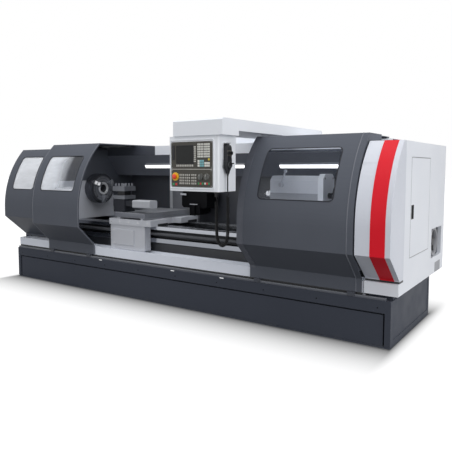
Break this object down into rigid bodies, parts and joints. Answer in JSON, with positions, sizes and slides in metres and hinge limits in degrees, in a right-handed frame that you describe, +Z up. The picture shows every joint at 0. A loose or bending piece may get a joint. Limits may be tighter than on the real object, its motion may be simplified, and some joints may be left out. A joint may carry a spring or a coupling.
{
  "type": "cnc lathe",
  "caption": "Flat-bed lathe with sliding curved guard doors, chuck, tool turret, tailstock, overhead control box with hand pendant and an end cabinet.",
  "frame": {"origin": "middle of the machine's box on the floor", "axes": "+X from the headstock towards the end cabinet, +Y from the operator's side to the back, +Z up"},
  "size_m": [4.64, 1.969, 1.718],
  "materials": {
    "dark_paint": "satin dark grey enamel",
    "base_paint": "satin anthracite enamel",
    "white_paint": "satin white enamel",
    "tray_paint": "satin pale grey enamel",
    "red_paint": "gloss red enamel",
    "grey_paint": "satin light grey enamel",
    "bed_iron": "machined cast iron",
    "ground_steel": "ground steel",
    "window": "clear laminated pane",
    "black_plastic": "moulded black",
    "dial_metal": "turned",
    "black_paint": "black motor enamel",
    "edge_strip": "dark edge strip",
    "glide_plastic": "moulded slide plastic",
    "panel_plastic": "grained panel",
    "screen": "dark screen",
    "key_plastic": "moulded keys",
    "stop_red": "red mushroom head",
    "belt_rubber": "ribbed belt",
    "pad_rubber": "machine pads",
    "cord_rubber": "black sheath",
    "lamp": "lamp diffuser"
  },
  "bodies": {
    "frame": {"headstock_bulkhead": "dark_paint", "rear_guard": "dark_paint", "left_guard": "dark_paint", "base_stand": "base_paint", "rear_hood": "white_paint", "end_cover": "white_paint", "electrical_cabinet": "white_paint", "overhead_arm": "white_paint", "control_box": "white_paint", "chip_tray": "tray_paint", "red_band": "red_paint", "headstock": "grey_paint", "bed": "bed_iron", "door_rail": "ground_steel", "pendant_hook": "ground_steel", "left_guard_window": "window", "pendant_body": "black_plastic", "cord_gland": "black_plastic", "main_motor": "black_paint", "z_drive_motor": "black_paint", "operator_panel": "panel_plastic", "display_screen": "screen", "panel_keys": "key_plastic", "drive_belt": "belt_rubber", "levelling_pads": "pad_rubber", "pendant_cord": "cord_rubber", "work_lamps": "lamp"},
    "left_door": {"left_door": "dark_paint", "left_door_window": "window", "left_door_glides": "glide_plastic"},
    "right_door": {"right_door": "dark_paint", "right_door_window": "window", "right_door_edge": "edge_strip", "right_door_glides": "glide_plastic"},
    "spindle": {"spindle": "ground_steel", "chuck_body": "ground_steel"},
    "jaw_1": {"chuck_jaw_1": "ground_steel"},
    "jaw_2": {"chuck_jaw_2": "ground_steel"},
    "jaw_3": {"chuck_jaw_3": "ground_steel"},
    "motor_pulley": {"motor_pulley": "ground_steel"},
    "carriage": {"saddle": "grey_paint", "apron": "grey_paint", "x_drive_motor": "black_paint"},
    "feed_screw": {"z_ball_screw": "ground_steel"},
    "cross_slide": {"cross_slide": "bed_iron", "turret_base": "grey_paint"},
    "turret": {"turret_head": "ground_steel"},
    "tailstock": {"tailstock_body": "grey_paint"},
    "quill": {"quill": "ground_steel"},
    "live_centre": {"live_centre": "ground_steel"},
    "handwheel": {"tailstock_handwheel": "ground_steel"},
    "lock_lever": {"quill_lock_lever": "black_plastic"},
    "cabinet_door": {"cabinet_door": "white_paint"},
    "fan": {"fan_rotor": "black_plastic"},
    "estop": {"estop_button": "stop_red"},
    "feed_knob": {"feed_knob": "black_plastic"},
    "speed_knob": {"speed_knob": "black_plastic"},
    "pendant_dial": {"pendant_wheel": "dial_metal"},
    "pendant_axis_knob": {"pendant_axis_knob": "black_plastic"},
    "pendant_rate_knob": {"pendant_rate_knob": "black_plastic"}
  },
  "joints": [
    {"name": "left_door_slide", "type": "slide", "parent": "frame", "child": "left_door", "axis": [1, 0, 0], "range_m": [-0.56, 0.98]},
    {"name": "right_door_slide", "type": "slide", "parent": "frame", "child": "right_door", "axis": [1, 0, 0], "range_m": [-0.99, 0]},
    {"name": "spindle_turn", "type": "hinge", "parent": "frame", "child": "spindle", "pos_m": [-1.42, 0.0095, 1.09], "axis": [1, 0, 0], "continuous": true},
    {"name": "jaw_1_slide", "type": "slide", "parent": "spindle", "child": "jaw_1", "axis": [0, -0.866, 0.5], "range_m": [-0.01, 0.02]},
    {"name": "jaw_2_slide", "type": "slide", "parent": "spindle", "child": "jaw_2", "axis": [0, 0.866, 0.5], "range_m": [-0.01, 0.02]},
    {"name": "jaw_3_slide", "type": "slide", "parent": "spindle", "child": "jaw_3", "axis": [0, 0, -1], "range_m": [-0.01, 0.02]},
    {"name": "motor_pulley_turn", "type": "hinge", "parent": "frame", "child": "motor_pulley", "pos_m": [-2.24, 0.4775, 0.52], "axis": [1, 0, 0], "continuous": true},
    {"name": "carriage_slide", "type": "slide", "parent": "frame", "child": "carriage", "axis": [1, 0, 0], "range_m": [-0.4, 0.75]},
    {"name": "feed_screw_turn", "type": "hinge", "parent": "frame", "child": "feed_screw", "pos_m": [0.28, -0.3005, 0.6605], "axis": [1, 0, 0], "continuous": true},
    {"name": "cross_slide_slide", "type": "slide", "parent": "carriage", "child": "cross_slide", "axis": [0, 1, 0], "range_m": [-0.08, 0.25]},
    {"name": "turret_turn", "type": "hinge", "parent": "cross_slide", "child": "turret", "pos_m": [-0.6255, -0.297, 1.02], "axis": [0, 0, 1], "continuous": true},
    {"name": "tailstock_slide", "type": "slide", "parent": "frame", "child": "tailstock", "axis": [1, 0, 0], "range_m": [-0.35, 0.2]},
    {"name": "quill_slide", "type": "slide", "parent": "tailstock", "child": "quill", "axis": [-1, 0, 0], "range_m": [0, 0.15]},
    {"name": "live_centre_turn", "type": "hinge", "parent": "quill", "child": "live_centre", "pos_m": [0.985, 0.0095, 1.09], "axis": [1, 0, 0], "continuous": true},
    {"name": "handwheel_turn", "type": "hinge", "parent": "tailstock", "child": "handwheel", "pos_m": [1.655, 0.0095, 1.09], "axis": [-1, 0, 0], "range_deg": [0, 10800]},
    {"name": "lock_lever_turn", "type": "hinge", "parent": "tailstock", "child": "lock_lever", "pos_m": [1.165, -0.1005, 1.182], "axis": [0, 1, 0], "range_deg": [-45, 45]},
    {"name": "cabinet_door_swing", "type": "hinge", "parent": "frame", "child": "cabinet_door", "pos_m": [2.317, 0.4055, 1.0275], "axis": [0, 0, 1], "range_deg": [0, 105]},
    {"name": "fan_turn", "type": "hinge", "parent": "frame", "child": "fan", "pos_m": [2.26, 0.7065, 0.668], "axis": [1, 0, 0], "continuous": true},
    {"name": "estop_push", "type": "slide", "parent": "frame", "child": "estop", "axis": [0, 1, 0], "range_m": [0, 0.006], "stiffness_N_per_m": 1500},
    {"name": "feed_knob_turn", "type": "hinge", "parent": "frame", "child": "feed_knob", "pos_m": [0.908, -0.9555, 1.262], "axis": [0, -1, 0], "range_deg": [-135, 135]},
    {"name": "speed_knob_turn", "type": "hinge", "parent": "frame", "child": "speed_knob", "pos_m": [0.969, -0.9555, 1.262], "axis": [0, -1, 0], "range_deg": [-135, 135]},
    {"name": "pendant_dial_turn", "type": "hinge", "parent": "frame", "child": "pendant_dial", "pos_m": [1.122, -0.8575, 1.358], "axis": [1, 0, 0], "continuous": true},
    {"name": "pendant_axis_knob_turn", "type": "hinge", "parent": "frame", "child": "pendant_axis_knob", "pos_m": [1.122, -0.8775, 1.448], "axis": [1, 0, 0], "range_deg": [-60, 60]},
    {"name": "pendant_rate_knob_turn", "type": "hinge", "parent": "frame", "child": "pendant_rate_knob", "pos_m": [1.122, -0.8375, 1.448], "axis": [1, 0, 0], "range_deg": [-60, 60]}
  ],
  "couplings": [
    {"joint": "jaw_2_slide", "follows": "jaw_1_slide", "ratio": 1},
    {"joint": "jaw_3_slide", "follows": "jaw_1_slide", "ratio": 1},
    {"joint": "motor_pulley_turn", "follows": "spindle_turn", "ratio": 1.7966},
    {"joint": "feed_screw_turn", "follows": "carriage_slide", "rad_per_m": 628.32},
    {"joint": "quill_slide", "follows": "handwheel_turn", "m_per_rad": 0.000795}
  ]
}
